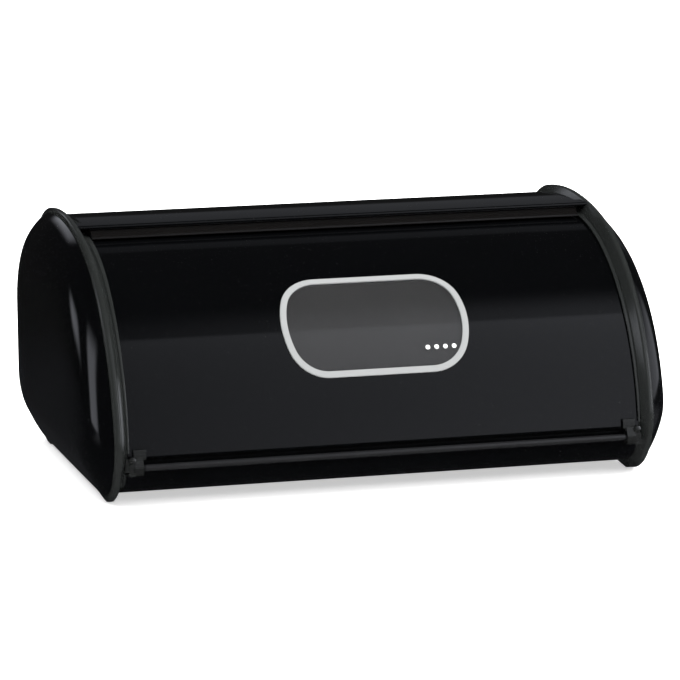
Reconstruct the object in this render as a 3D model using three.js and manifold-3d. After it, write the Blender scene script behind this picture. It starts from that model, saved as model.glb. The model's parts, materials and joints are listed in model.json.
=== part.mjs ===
// Roll-top bread bin, in millimetres, +Z up, front towards -Y, standing on z = 0.
//
// Two moulded end frames carry a bent steel shell, two domed steel end caps and a curved
// steel door. The door is one rigid arc that turns about a level axis (the door axis) and
// runs in slots moulded into the frames, back under the top panel.
import * as THREE from 'three';
import { mergeVertices } from 'three/addons/utils/BufferGeometryUtils.js';
import Module from 'manifold-3d';

const wasm = await Module();
wasm.setup();

// ---------------------------------------------------------------- driving dimensions

const CREST_X = 185;          // half the distance between the two frames' crests
const FRONT_R = 147;          // front crest, from the door axis
const BACK_Y = 142;           // back crest, from the door axis
const HEIGHT = 177;           // top of the crests
const CAP_BULGE = 22;         // how far an end cap stands out past the crest
const AXIS_Z = 25;            // height of the door axis
const FOOT = 3.5;             // height of the feet under the end frames
const FOOT_FRONT_Y = 86;      // the feet begin this far ahead of the door axis
const FOOT_REAR_Y = 78;       // and this far behind it

const CROWN_R = 275;          // gentle crown over the top of a frame
const BACK_TOP_R = 76;
const BACK_FOOT_R = 50;
const FRONT_FOOT_R = 44;
const CAP_LIFT = 6;           // a dome's lower side stands this much further up than its edge

const SHEET = 0.9;            // steel thickness
const GAP = 0.35;             // free space between pieces that touch
const SHELL_INSET = 5.5;      // back of the shell, in from the crest
const SHELL_FLOOR = 6.5;      // underside of the shell
const SHELL_CROWN_R = 420;    // crown of the top panel
const SHELL_TOP = 173.6;
const SHELL_X = 178.8;        // half length of the shell between the frames
const PANEL_Y = -11;          // front edge of the top panel
const LIP_DEG = 213.5;        // where the front lip ends, round its bend
const EAR_X = 184.4;          // half length of the panel's front strip, over the frames
const EAR_REAR_Y = 4;
const BEAD_R = 1.4;           // rolled bead on the top panel's front edge

const DOOR_R = 139;           // outside of the door, from the door axis
const DOOR_SHEET = 0.8;
const DOOR_X = 178.8;         // half length of the door, edges in the slots
const DOOR_REAR_DEG = 90;     // hidden rear edge, under the top panel
const DOOR_HEM_DEG = 175.6;   // lower edge of the door's face
const RECESS_R = 135.4;       // outside of the recessed strip behind the handle rod
const RECESS_END_DEG = 181;
const RECESS_X = 175.2;

const SLOT_IN_R = 137.2;      // inner and outer walls of the slots
const SLOT_OUT_R = 139.95;
const SLOT_REAR_DEG = 17;     // rear end of the slots
const SLOT_END_X = 179.2;     // closed side of a slot
const LIP_X = 175.8;          // inner edge of the lip over the door, at its rear end
const LIP_FOOT_X = 178;       // and at its lower end, where the lip is narrowest
const LIP_TOP_R = 140.95;
const LIP_END_DEG = 174;      // lower end of that lip, above the clip
const STOP_R = 138.9;         // outside of the block that the door rests on
const STOP_END_DEG = 179.5;
const WEB_X = 181.4;          // outer face of a frame's web
const OPENING_R = 132.5;      // clear opening of a frame's web

const WINDOW_DEG = 140.9;     // middle of the window, round the door axis
const WINDOW_W = 131;         // outside of the window ring, along X
const WINDOW_H = 76.8;        // and along the arc
const WINDOW_CORNER = 27.7;
const WINDOW_END_R = 62;      // bow of the window's two ends
const RING_WIDTH = 4.6;
const RING_PROUD = 1.15;
const PANE = 1;               // thickness of the window pane

const EYELET_R = 1.65;
const EYELET_PITCH = 6.2;
const EYELET_FIRST_X = 33.9;
const EYELET_DEG = 149.45;

const ROD_R = 2.2;
const ROD_X = 168.5;
const ROD_Y = -141;
const ROD_Z = 29.5;
const SPIGOT_R = 1.2;

const ORIGIN_Y = (FRONT_R - BACK_Y) / 2;   // the door axis stands this far behind the origin
const ARC_STEP = 5;           // degrees per facet of a large arc

// ---------------------------------------------------------------- materials

const metal = (color, roughness) => ({ color, roughness, metalness: 0.2 });
const plastic = (color, roughness) => ({ color, roughness, metalness: 0 });
const LOOKS = {
  paint: metal(0x101113, 0.16),
  frame: plastic(0x3a3c3b, 0.5),
  rail: plastic(0x191513, 0.45),
  silver: metal(0xc4c6c5, 0.42),
  pane: { ...plastic(0x4a4b4c, 0.08), transparent: true, opacity: 0.55 },
  eyelet: plastic(0xdcdcd8, 0.4),
  steel: metal(0x9a9c9e, 0.35),
};

// ---------------------------------------------------------------- lines and arcs

const rad = THREE.MathUtils.degToRad;
const deg = THREE.MathUtils.radToDeg;

/** Points of an arc in the (y, z) plane, both ends included. */
function arc(cy, cz, r, from, to, step = ARC_STEP) {
  const n = Math.max(2, Math.ceil(Math.abs(to - from) / step));
  return Array.from({ length: n + 1 }, (_, i) => {
    const a = rad(from + (to - from) * i / n);
    return [cy + r * Math.cos(a), cz + r * Math.sin(a)];
  });
}

/** Point at an angle and radius about the door axis. */
const aboutAxis = (r, degrees) => [r * Math.cos(rad(degrees)), AXIS_Z + r * Math.sin(rad(degrees))];

/** Closed outline of a frame's crest, `inset` inwards. */
function rimOutline(inset = 0) {
  const front = FRONT_R;
  const crownDeg = 180 - deg(Math.asin((CROWN_R + AXIS_Z - HEIGHT) / (CROWN_R - front)));
  const crownY = (front - CROWN_R) * Math.cos(rad(crownDeg));
  const crownZ = HEIGHT - CROWN_R;
  const backY = BACK_Y - BACK_TOP_R;
  const backDeg = deg(Math.acos((backY - crownY) / (CROWN_R - BACK_TOP_R)));
  const backZ = crownZ + (CROWN_R - BACK_TOP_R) * Math.sin(rad(backDeg));
  const footDeg = 180 - deg(Math.asin((FRONT_FOOT_R - AXIS_Z) / (front - FRONT_FOOT_R)));
  const footY = (front - FRONT_FOOT_R) * Math.cos(rad(footDeg));
  return [
    ...arc(footY, FRONT_FOOT_R, FRONT_FOOT_R - inset, 270, footDeg, 14),
    ...arc(0, AXIS_Z, front - inset, footDeg, crownDeg).slice(1),
    ...arc(crownY, crownZ, CROWN_R - inset, crownDeg, backDeg).slice(1),
    ...arc(backY, backZ, BACK_TOP_R - inset, backDeg, 0, 9).slice(1),
    ...arc(BACK_Y - BACK_FOOT_R, BACK_FOOT_R, BACK_FOOT_R - inset, 0, -90, 15),
  ];
}

/** Line of the shell's outer face, moved inwards by `inset`, from front lip to top panel. */
function shellLine(inset = 0) {
  const lipR = 36;
  const lipY = -104.5;
  const cornerR = BACK_FOOT_R - SHELL_INSET;
  const backY = BACK_Y - SHELL_INSET;
  const topR = BACK_TOP_R - SHELL_INSET;
  const topY = BACK_Y - BACK_TOP_R;
  const crownY = PANEL_Y + 25;
  const crownZ = SHELL_TOP - SHELL_CROWN_R;
  const crownDeg = deg(Math.acos((topY - crownY) / (SHELL_CROWN_R - topR)));
  const topZ = crownZ + (SHELL_CROWN_R - topR) * Math.sin(rad(crownDeg));
  const frontDeg = deg(Math.acos((PANEL_Y - crownY) / SHELL_CROWN_R));
  return [
    ...arc(lipY, SHELL_FLOOR + lipR, lipR - inset, LIP_DEG, 270, 9),
    ...arc(backY - cornerR, SHELL_FLOOR + cornerR, cornerR - inset, -90, 0, 12),
    ...arc(topY, topZ, topR - inset, 0, crownDeg, 9),
    ...arc(crownY, crownZ, SHELL_CROWN_R - inset, crownDeg, frontDeg, 2).slice(1),
  ];
}

// ---------------------------------------------------------------- solids

/** Geometry from vertices and triangles. */
function mesh(positions, triangles) {
  const geometry = new THREE.BufferGeometry();
  geometry.setAttribute('position', new THREE.Float32BufferAttribute(positions, 3));
  geometry.setIndex(triangles);
  return geometry;
}

/** Prism of a (y, z) outline between two planes of constant x. */
function plate(outline, x0, x1) {
  const shape = new THREE.Shape(outline.map(([y, z]) => new THREE.Vector2(y, z)));
  const geometry = new THREE.ExtrudeGeometry(shape, { depth: x1 - x0, bevelEnabled: false });
  const axes = new THREE.Matrix4().makeBasis(
    new THREE.Vector3(0, 1, 0), new THREE.Vector3(0, 0, 1), new THREE.Vector3(1, 0, 0));
  return geometry.applyMatrix4(axes).translate(x0, 0, 0);
}

/** Bar that follows an arc about the door axis. */
const arcBar = (x0, x1, r0, r1, from, to) => plate(
  [...arc(0, AXIS_Z, r1, from, to), ...arc(0, AXIS_Z, r0, to, from)], x0, x1);

/** Sheet of a given thickness whose outer face follows the shell's line. */
const shellBand = (x0, x1, outer, inner) => plate(
  [...shellLine(outer), ...shellLine(inner).reverse()], x0, x1);

/**
 * Skin through closed rings of equal length. A ring is [x, line]. With `closed` the last
 * ring joins the first; otherwise a fan closes each end at its middle.
 */
function skin(rings, closed) {
  const n = rings[0][1].length;
  const positions = rings.flatMap(([x, line]) => line.flatMap(([y, z]) => [x, y, z]));
  const triangles = [];
  const bands = closed ? rings.length : rings.length - 1;
  for (let k = 0; k < bands; k++) {
    const a = k * n;
    const b = ((k + 1) % rings.length) * n;
    for (let i = 0; i < n; i++) {
      const j = (i + 1) % n;
      triangles.push(a + i, a + j, b + j, a + i, b + j, b + i);
    }
  }
  if (!closed) {
    [[0, 1], [rings.length - 1, -1]].forEach(([k, side]) => {
      const [x, line] = rings[k];
      const hub = positions.length / 3;
      const mean = (axis) => line.reduce((sum, point) => sum + point[axis], 0) / n;
      positions.push(x, mean(0), mean(1));
      for (let i = 0; i < n; i++) {
        const ends = [k * n + i, k * n + (i + 1) % n];
        triangles.push(hub, ...(side > 0 ? ends.reverse() : ends));
      }
    });
  }
  return mesh(positions, triangles);
}

/** The same geometry with its faces turned round if they point in. */
function facingOut(geometry) {
  const p = geometry.attributes.position;
  const index = geometry.index.array;
  const v = [0, 1, 2].map(() => new THREE.Vector3());
  let volume = 0;
  for (let i = 0; i < index.length; i += 3) {
    v.forEach((corner, k) => corner.fromBufferAttribute(p, index[i + k]));
    volume += v[0].dot(v[1].cross(v[2]));
  }
  if (volume < 0) {
    for (let i = 0; i < index.length; i += 3) {
      [index[i], index[i + 1]] = [index[i + 1], index[i]];
    }
  }
  return geometry;
}

/** Manifold of a geometry. */
function toSolid(geometry) {
  const bare = geometry.clone();
  bare.deleteAttribute('normal');
  bare.deleteAttribute('uv');
  const merged = facingOut(mergeVertices(bare, 1e-4));
  return new wasm.Manifold(new wasm.Mesh({
    numProp: 3,
    vertProperties: new Float32Array(merged.attributes.position.array),
    triVerts: new Uint32Array(merged.index.array),
  }));
}

/** Geometry of a manifold. */
function toGeometry(solid) {
  const out = solid.getMesh();
  return mesh(Array.from(out.vertProperties), Array.from(out.triVerts));
}

const join = (...geometries) => toGeometry(
  geometries.map(toSolid).reduce((sum, solid) => sum.add(solid)));
const cut = (geometry, ...tools) => toGeometry(
  tools.map(toSolid).reduce((left, tool) => left.subtract(tool), toSolid(geometry)));
const common = (a, b) => toGeometry(toSolid(a).intersect(toSolid(b)));

/** Mirror image of a geometry across x = 0. */
function mirrored(geometry) {
  const copy = geometry.index ? geometry.clone() : mergeVertices(geometry.clone(), 1e-4);
  return facingOut(copy.scale(-1, 1, 1));
}

/** Axis-aligned box between two corners. */
function box([x0, y0, z0], [x1, y1, z1]) {
  return new THREE.BoxGeometry(x1 - x0, y1 - y0, z1 - z0)
    .translate((x0 + x1) / 2, (y0 + y1) / 2, (z0 + z1) / 2);
}

/** Body of revolution from [radius, height] points, axis along +Z. */
const turned = (profile, sides) => new THREE.LatheGeometry(
  profile.map(([r, h]) => new THREE.Vector2(r, h)), sides).rotateX(Math.PI / 2);

/** Geometry made along +Z, moved so that its z = 0 lies at `r` from the door axis. */
function radially(geometry, x, degrees, r) {
  const [y, z] = aboutAxis(r, degrees);
  return geometry.rotateX(rad(degrees - 90)).translate(x, y, z);
}

/** Window's outline, moved in by `inset`: straight long sides, bowed ends and round corners. */
function windowShape(inset) {
  const halfW = WINDOW_W / 2 - inset;
  const halfH = WINDOW_H / 2 - inset;
  const corner = WINDOW_CORNER - inset;
  const end = WINDOW_END_R - inset;
  const x = halfW - end + Math.sqrt((end - corner) ** 2 - (halfH - corner) ** 2);
  const meet = Math.atan2(halfH - corner, x - halfW + end);
  const shape = new THREE.Shape();
  shape.absarc(halfW - end, 0, end, -meet, meet);
  shape.absarc(x, halfH - corner, corner, meet, Math.PI / 2);
  shape.absarc(-x, halfH - corner, corner, Math.PI / 2, Math.PI - meet);
  shape.absarc(end - halfW, 0, end, Math.PI - meet, Math.PI + meet);
  shape.absarc(-x, corner - halfH, corner, Math.PI + meet, 1.5 * Math.PI);
  shape.absarc(x, corner - halfH, corner, 1.5 * Math.PI, 2 * Math.PI - meet);
  return shape;
}

/** Prism of the window's outline between two radii, wrapped about the door axis. */
function windowPrism(inset, r0, r1) {
  const geometry = new THREE.ExtrudeGeometry(
    windowShape(inset), { depth: 1, bevelEnabled: false, curveSegments: 5 });
  const p = geometry.attributes.position;
  for (let i = 0; i < p.count; i++) {
    const angle = WINDOW_DEG - deg(p.getY(i) / DOOR_R);
    const [y, z] = aboutAxis(p.getZ(i) > 0.5 ? r1 : r0, angle);
    p.setXYZ(i, p.getX(i), y, z);
  }
  return geometry;
}

/** Curved plate of the window's shape, smaller than the ring's outside by `inset`. */
function windowPlate(inset, r0, r1) {
  const span = deg(WINDOW_H / DOOR_R / 2) + 4;
  const bar = arcBar(-WINDOW_W / 2 - 2, WINDOW_W / 2 + 2, r0, r1,
    WINDOW_DEG + span, WINDOW_DEG - span);
  return common(bar, windowPrism(inset, r0 - 20, r1 + 20));
}

const windowHole = (inset) => windowPrism(inset, DOOR_R - 25, DOOR_R + 25);

// ---------------------------------------------------------------- fixed pieces

/** Section of a frame's rim: [x, inset from the crest outline]. */
const RIM_SECTION = [
  [179.6, 9.5], [179.6, 6.3], [180, 5.9], [180.5, 5.3], [183.6, 0.9],
  [184.4, 0], [186.2, 0], [187.4, 0.9], [188.4, 3.4], [188.4, 9.5],
];
const CAP_X = 188.4 + GAP;
const CAP_INSET = 3.8;

/** Lip over the door's edge, which gets narrower from the top panel to its lower end. */
function doorLip() {
  const geometry = arcBar(LIP_X, WEB_X, SLOT_OUT_R, LIP_TOP_R, LIP_END_DEG, SLOT_REAR_DEG);
  const p = geometry.attributes.position;
  for (let i = 0; i < p.count; i++) {
    if (p.getX(i) < LIP_X + 0.1) {
      const angle = deg(Math.atan2(p.getZ(i) - AXIS_Z, p.getY(i)));
      const share = Math.max(0, (angle - 90) / (LIP_END_DEG - 90));
      p.setX(i, LIP_X + (LIP_FOOT_X - LIP_X) * share);
    }
  }
  return geometry;
}

/** Moulded end frame: rim with its feet, web, door slot and shell ledge, on the +X end. */
function endFrame() {
  const rim = skin(RIM_SECTION.map(([x, inset]) => [x, rimOutline(inset)]), true);
  const hole = common(plate(rimOutline(14), SLOT_END_X - 1, WEB_X + 1),
    plate(arc(0, AXIS_Z, OPENING_R + 1.5, 0, 356), SLOT_END_X - 1, WEB_X + 1));
  const web = cut(plate(rimOutline(7), SLOT_END_X, WEB_X), hole);
  const innerRail = arcBar(LIP_X, WEB_X, SLOT_IN_R - 1.2, SLOT_IN_R, STOP_END_DEG, SLOT_REAR_DEG);
  const outerRail = doorLip();
  const stop = arcBar(LIP_X, WEB_X, SLOT_IN_R - 1.2, STOP_R, STOP_END_DEG, DOOR_HEM_DEG + 0.15);
  const ledge = shellBand(171.5, WEB_X, SHEET + GAP, SHEET + GAP + 1.3);
  const shellLedge = cut(ledge, box([160, -30, 150], [190, EAR_REAR_Y + 1, 180]));
  const slot = arcBar(LIP_X - 5, SLOT_END_X, SLOT_IN_R, SLOT_OUT_R,
    DOOR_HEM_DEG + 0.15, SLOT_REAR_DEG + 0.5);
  const beyondStop = arcBar(LIP_X - 5, SLOT_END_X, STOP_R, SLOT_OUT_R + 8,
    STOP_END_DEG + 1.5, LIP_END_DEG);
  const overEar = common(shellBand(160, EAR_X + GAP, -12, SHEET + GAP),
    box([150, -30, 150], [190, EAR_REAR_Y + GAP, 200]));
  const betweenFeet = box([170, -FOOT_FRONT_Y, -1], [200, FOOT_REAR_Y, FOOT]);
  const foot = (y0, y1) => box([181.5, y0, 0], [187, y1, FOOT + 1.5]);
  const frontFoot = foot(-FOOT_FRONT_Y - 20, -FOOT_FRONT_Y);
  const rearFoot = foot(FOOT_REAR_Y, FOOT_REAR_Y + 14);
  return cut(join(rim, web, innerRail, outerRail, stop, shellLedge, frontFoot, rearFoot),
    slot, beyondStop, overEar, bead(160, EAR_X + GAP, GAP), betweenFeet);
}

/** How far the cap's outer face stands out in X at a given inset. */
const capX = (inset) => CAP_X + (CREST_X + CAP_BULGE - CAP_X)
  * (1 - (1 - Math.min(1, (inset - CAP_INSET) / 62)) ** 4);

/** Outline of the cap at a given inset; past the shoulder it shrinks towards the middle. */
function capOutline(inset) {
  const shoulder = Math.min(inset, 30);
  const lift = CAP_LIFT * Math.min(1, Math.max(0, (inset - CAP_INSET) / 12));
  const line = rimOutline(shoulder).map(([y, z]) => [y, z + lift * (1 - z / HEIGHT)]);
  const scale = 1 - (inset - shoulder) / 56;
  const middle = [0, 1].map((k) => line.reduce((sum, point) => sum + point[k], 0) / line.length);
  return line.map((point) => point.map((value, k) => middle[k] + (value - middle[k]) * scale));
}

/** Domed end cap with a skirt inside the rim, on the +X end. */
function endCap() {
  const skirtX = 184;
  const skirtInset = 9.85;
  const dome = (start, thickness) => [0, 4, 9, 16, 26, 42, 58].map((step) => {
    const inset = start + step;
    return [capX(inset) - thickness, capOutline(inset)];
  });
  return skin([
    ...dome(CAP_INSET, 0).reverse(),
    [CAP_X, rimOutline(skirtInset)], [skirtX, rimOutline(skirtInset)],
    [skirtX, rimOutline(skirtInset + SHEET)],
    ...dome(skirtInset + SHEET, SHEET),
  ], false);
}

/** Rolled bead along the top panel's front edge, made thicker by `extra`. */
function bead(x0, x1, extra = 0) {
  const [y, z] = shellLine(0).at(-1);
  return new THREE.CylinderGeometry(BEAD_R + extra, BEAD_R + extra, x1 - x0, 16)
    .rotateZ(Math.PI / 2).translate((x0 + x1) / 2, y - 0.4, z - BEAD_R + 0.2);
}

/** Bent steel shell: front lip, floor, back and top panel, with the bead along its front. */
function bodyShell() {
  const sheet = shellBand(-SHELL_X, SHELL_X, 0, SHEET);
  const strip = common(shellBand(-EAR_X, EAR_X, 0, SHEET), box([-200, -30, 150], [200, EAR_REAR_Y, 190]));
  return join(sheet, strip, bead(-EAR_X, EAR_X));
}

/** Rail under the top panel's front edge, with a ridge along its sloping face. */
function topFrontRail() {
  const top = [PANEL_Y - 1, SHELL_TOP - 3.8];
  const foot = [PANEL_Y - 7.5, AXIS_Z + DOOR_R + 0.5];
  const along = (t, proud) => [
    top[0] + (foot[0] - top[0]) * t - proud * 0.77, top[1] + (foot[1] - top[1]) * t + proud * 0.64];
  const underPanel = SHELL_TOP - SHEET - 1.3;
  return plate([
    [PANEL_Y + 1.7, top[1]], along(0, 0), along(0.62, 0), along(0.67, 0.5), along(0.83, 0.5),
    along(0.88, 0), along(1, 0), [foot[0] + 1.2, foot[1]], [PANEL_Y + 4, foot[1] + 1.3],
    [PANEL_Y + 15, foot[1] + 1.5], [PANEL_Y + 15, underPanel + 0.1], [PANEL_Y + 4, underPanel - 0.1],
    [PANEL_Y + 1.7, underPanel - 1],
  ], -LIP_X + 0.3, LIP_X - 0.3);
}

// ---------------------------------------------------------------- door pieces

const SCREW_X = 169.4;
const CLIP_SCREW_DEG = 174.4;
const SHOE_RIVET_DEG = DOOR_REAR_DEG + 2.2;
const holeAt = (x, degrees, r) => radially(
  new THREE.CylinderGeometry(r, r, 12, 12).rotateX(Math.PI / 2), x, degrees, DOOR_R);

/** Curved door: face, hem, recessed strip, window opening and screw holes. */
function doorPanel() {
  const inner = DOOR_R - DOOR_SHEET;
  const face = arcBar(-DOOR_X, DOOR_X, inner, DOOR_R, DOOR_HEM_DEG, DOOR_REAR_DEG);
  const step = arcBar(-RECESS_X, RECESS_X, RECESS_R - DOOR_SHEET, DOOR_R,
    DOOR_HEM_DEG, DOOR_HEM_DEG - 0.35);
  const strip = arcBar(-RECESS_X, RECESS_X, RECESS_R - DOOR_SHEET, RECESS_R,
    RECESS_END_DEG, DOOR_HEM_DEG - 0.35);
  const corner = (x0, x1) => arcBar(x0, x1, inner - 2, DOOR_R + 2, DOOR_REAR_DEG + 4, DOOR_REAR_DEG - 4);
  const holes = [-SCREW_X, SCREW_X].flatMap((x) => [
    holeAt(x, CLIP_SCREW_DEG, 1.2), holeAt(x, SHOE_RIVET_DEG, 1.2)]);
  return cut(join(face, step, strip), windowHole(2), corner(-190, -173.8), corner(173.8, 190), ...holes);
}

const windowRing = () => cut(windowPlate(0, DOOR_R + GAP, DOOR_R + RING_PROUD), windowHole(RING_WIDTH));
const windowRetainer = () => cut(
  windowPlate(0, DOOR_R - PANE - GAP - 1.6, DOOR_R - PANE - GAP), windowHole(RING_WIDTH));

const eyeletX = (i) => EYELET_FIRST_X + i * EYELET_PITCH;

/** Clear pane in the door's opening, with a hole for each eyelet. */
function windowPane() {
  const pane = windowPlate(2 + GAP, DOOR_R - PANE, DOOR_R);
  return cut(pane, ...[0, 1, 2, 3].map((i) => holeAt(eyeletX(i), EYELET_DEG, 1.15)));
}

/** Small flanged vent eyelet. */
const eyelet = (i) => radially(turned([
  [0.45, -1.6], [0.85, -1.6], [0.85, GAP], [EYELET_R, GAP], [1.3, GAP + 0.45], [0.45, GAP + 0.45],
  [0.45, -1.6],
], 14), eyeletX(i), EYELET_DEG, DOOR_R);

/** Handle rod along X, with rounded shoulders and a thin spigot at each end. */
function handleRod() {
  const shoulder = [[SPIGOT_R, ROD_X], [1.75, ROD_X - 0.3], [ROD_R, ROD_X - 1.3]];
  const profile = [
    [0, -ROD_X - 4], [SPIGOT_R, -ROD_X - 4], ...shoulder.map(([r, x]) => [r, -x]),
    ...shoulder.reverse(), [SPIGOT_R, ROD_X + 4], [0, ROD_X + 4],
  ];
  return turned(profile, 16).rotateY(Math.PI / 2).translate(0, ROD_Y, ROD_Z);
}

/** Side view of the part of a clip that swells out round the handle rod: [y, z]. */
const HOOK_OUTLINE = [
  [-136, 24.3], [-141.8, 24.3], [-143.5, 25], [-144.3, 26.6], [-144.3, 30.6], [-143.4, 32.6],
  [-141.9, 34.6], [-141.4, 36], [-139.5, 36], [-139.5, 34.9], [-136, 34.9],
];

/** Clip on the door's lower corner, which holds the handle rod, on the +X end. */
function frontClip() {
  const [tabX, hookX, x1] = [166.8, 169, 175.4];
  const tab = arcBar(tabX, x1, DOOR_R + GAP, DOOR_R + 2.6, DOOR_HEM_DEG + 0.3, 173.2);
  const hook = plate(HOOK_OUTLINE, hookX, x1);
  const wing = arcBar(x1 - 1, 178.8, LIP_TOP_R + 0.4, DOOR_R + 4.9, 180.2, 177);
  const boss = radially(new THREE.CylinderGeometry(2.3, 2.5, 2.6, 16).rotateX(Math.PI / 2).translate(0, 0, 1.3),
    176.5, 176, LIP_TOP_R + 0.4);
  const socket = new THREE.CylinderGeometry(SPIGOT_R + GAP, SPIGOT_R + GAP, 7, 12)
    .rotateZ(Math.PI / 2).translate(170.5, ROD_Y, ROD_Z);
  const screwHole = radially(new THREE.CylinderGeometry(1.2, 1.2, 3.2, 12).rotateX(Math.PI / 2),
    SCREW_X, CLIP_SCREW_DEG, DOOR_R);
  return cut(join(tab, hook, wing, boss), socket, screwHole);
}

/** Screw from inside the door into a clip, on the +X end. */
const clipScrew = () => radially(turned([
  [0, -2.4], [1.4, -2.4], [2, -2], [2, -DOOR_SHEET - GAP], [0.85, -DOOR_SHEET - GAP], [0.85, 1.2], [0, 1.2],
], 12), SCREW_X, CLIP_SCREW_DEG, DOOR_R);

/** Slide shoe on the door's hidden rear corner, on the +X end. */
function rearShoe() {
  const [from, to] = [DOOR_REAR_DEG + 3.4, DOOR_REAR_DEG + 0.2];
  const runner = arcBar(174.2, 178.8, SLOT_IN_R + 0.4, SLOT_OUT_R - 0.4, from, to);
  const tab = arcBar(163.5, 175, SLOT_IN_R - 0.6, DOOR_R - DOOR_SHEET - GAP, from, to - 1.4);
  return cut(join(runner, tab), holeAt(SCREW_X, SHOE_RIVET_DEG, 1.2));
}

/** Rivet through a rear shoe, on the +X end. */
const shoeRivet = () => radially(turned([
  [0, -4], [1.2, -4], [1.8, -3.6], [1.8, -2.5 - GAP], [0.85, -2.5 - GAP], [0.85, -0.1], [0, -0.1],
], 12), SCREW_X, SHOE_RIVET_DEG, DOOR_R);

// ---------------------------------------------------------------- assembly

const bin = new THREE.Group();

function add(name, geometry, look) {
  const piece = new THREE.Mesh(geometry.translate(0, ORIGIN_Y, 0), new THREE.MeshStandardMaterial(look));
  piece.name = name;
  bin.add(piece);
}

/** One piece on each end, the left one a mirror image. */
function addPair(name, geometry, look) {
  add(`left_${name}`, mirrored(geometry), look);
  add(`right_${name}`, geometry, look);
}

addPair('end_frame', endFrame(), LOOKS.frame);
addPair('end_cap', facingOut(endCap()), LOOKS.paint);
add('body_shell', bodyShell(), LOOKS.paint);
add('top_front_rail', topFrontRail(), LOOKS.rail);
add('door_panel', doorPanel(), LOOKS.paint);
add('window_ring', windowRing(), LOOKS.silver);
add('window_pane', windowPane(), LOOKS.pane);
add('window_retainer', windowRetainer(), LOOKS.frame);
[0, 1, 2, 3].forEach((i) => add(`vent_eyelet_${i + 1}`, eyelet(i), LOOKS.eyelet));
add('handle_rod', handleRod(), LOOKS.paint);
addPair('front_clip', frontClip(), LOOKS.frame);
addPair('clip_screw', clipScrew(), LOOKS.steel);
addPair('rear_shoe', rearShoe(), LOOKS.frame);
addPair('shoe_rivet', shoeRivet(), LOOKS.steel);

export default bin;
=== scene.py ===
"""Looks of the roll-top bread bin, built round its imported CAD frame.

Points are written in mm about the door's axis in Y and from the table in Z, and stored in metres.
Angles are about the door's axis: 90 degrees is straight up and 180 is straight forwards.
"""

import json
import math

import bmesh
import bpy
import numpy as np
from mathutils import Matrix, Vector


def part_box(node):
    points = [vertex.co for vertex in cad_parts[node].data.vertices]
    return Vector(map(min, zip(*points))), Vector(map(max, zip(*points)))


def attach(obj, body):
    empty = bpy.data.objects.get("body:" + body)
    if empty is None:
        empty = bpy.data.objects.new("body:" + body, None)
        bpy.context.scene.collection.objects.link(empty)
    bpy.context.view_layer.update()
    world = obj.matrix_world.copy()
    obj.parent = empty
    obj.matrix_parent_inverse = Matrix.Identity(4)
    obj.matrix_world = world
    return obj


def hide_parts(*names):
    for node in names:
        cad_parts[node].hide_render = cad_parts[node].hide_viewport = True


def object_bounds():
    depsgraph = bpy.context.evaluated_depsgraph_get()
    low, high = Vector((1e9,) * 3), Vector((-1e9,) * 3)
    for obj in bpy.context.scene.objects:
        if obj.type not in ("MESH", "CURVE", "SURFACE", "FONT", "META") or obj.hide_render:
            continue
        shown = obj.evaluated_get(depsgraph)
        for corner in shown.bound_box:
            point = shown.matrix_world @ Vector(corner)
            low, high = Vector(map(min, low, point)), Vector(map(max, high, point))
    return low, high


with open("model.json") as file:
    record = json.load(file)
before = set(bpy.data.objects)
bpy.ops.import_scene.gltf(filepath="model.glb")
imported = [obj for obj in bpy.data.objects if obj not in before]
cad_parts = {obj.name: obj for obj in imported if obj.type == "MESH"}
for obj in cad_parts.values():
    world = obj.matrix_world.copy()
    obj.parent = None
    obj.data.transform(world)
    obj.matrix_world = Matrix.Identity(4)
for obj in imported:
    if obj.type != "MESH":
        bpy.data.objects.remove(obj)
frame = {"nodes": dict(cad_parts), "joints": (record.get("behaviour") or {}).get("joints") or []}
cad_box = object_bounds()
MM = 0.001

# ------------------------------------------------------------------ dimensions

joint = frame["joints"][0]
AXIS_Y = joint["pos_m"][1] / MM
AXIS_Z = joint["pos_m"][2] / MM
HALF_WIDTH = cad_box[1][0] / MM

# outline of the end frames' rims, in arcs that run into each other; the front arc is about the door's axis
FRONT_R = 147.0
BACK_Y = cad_box[1][1] / MM - AXIS_Y
HEIGHT = 177.0
CROWN_R = 275.0
BACK_TOP_R = 76.0
BACK_FOOT_R = 50.0
FRONT_FOOT_R = 44.0

# end frames: X is from the middle of the bin, and an inset is from the rim's outline
WEB_X = (179.3, 181.4)
WEB_INSET = (7.0, 14.0)
WEB_INNER_R = 134.0
INSIDE_X = 180.2
RAIL_X = 176.0
RAIL_R = (136.0, 137.2)
RAIL_END_DEG = 179.5
STOP_R = (137.3, 138.9)
STOP_DEG = (175.75, 179.4)
STOP_X = 179.9
LEDGE_X = 171.5
LEDGE_INSET = (1.3, 2.6)
FEET = ((-106, 20), (78, 14))
FOOT_X = (181.7, 186.8)
FOOT_HEIGHT = 5
RAISED_X = 181.0
RAISED_Y = (-88, 81)
RAISED_RAMP = 3
RAISED_BY = 3.5

# domed end caps: the dome starts at CAP_X, its top is lifted, and past the shoulder it shrinks to its middle
CAP_X = 188.75
CAP_INSET = 3.8
CAP_LIFT = 6.0
CAP_LIFT_OVER = 12
CAP_SHOULDER = 30.0
CAP_TAPER = 56
CAP_DOME = 62
CAP_WALL = 1.2
CAP_TONGUE_X = 184.1
CAP_TONGUE_INSET = (9.8, 9.85, 10.7)
CAP_STEPS = (0, 0.6, 1.5, 3, 5, 7.5, 10.5, 14, 18, 22, 26.2, 32, 38, 44, 50, 56, 62, 68, 74, 79, 81.5)
CAP_INNER_STEPS = (7, 12, 20, 30, 42, 54, 68, 80)

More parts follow.
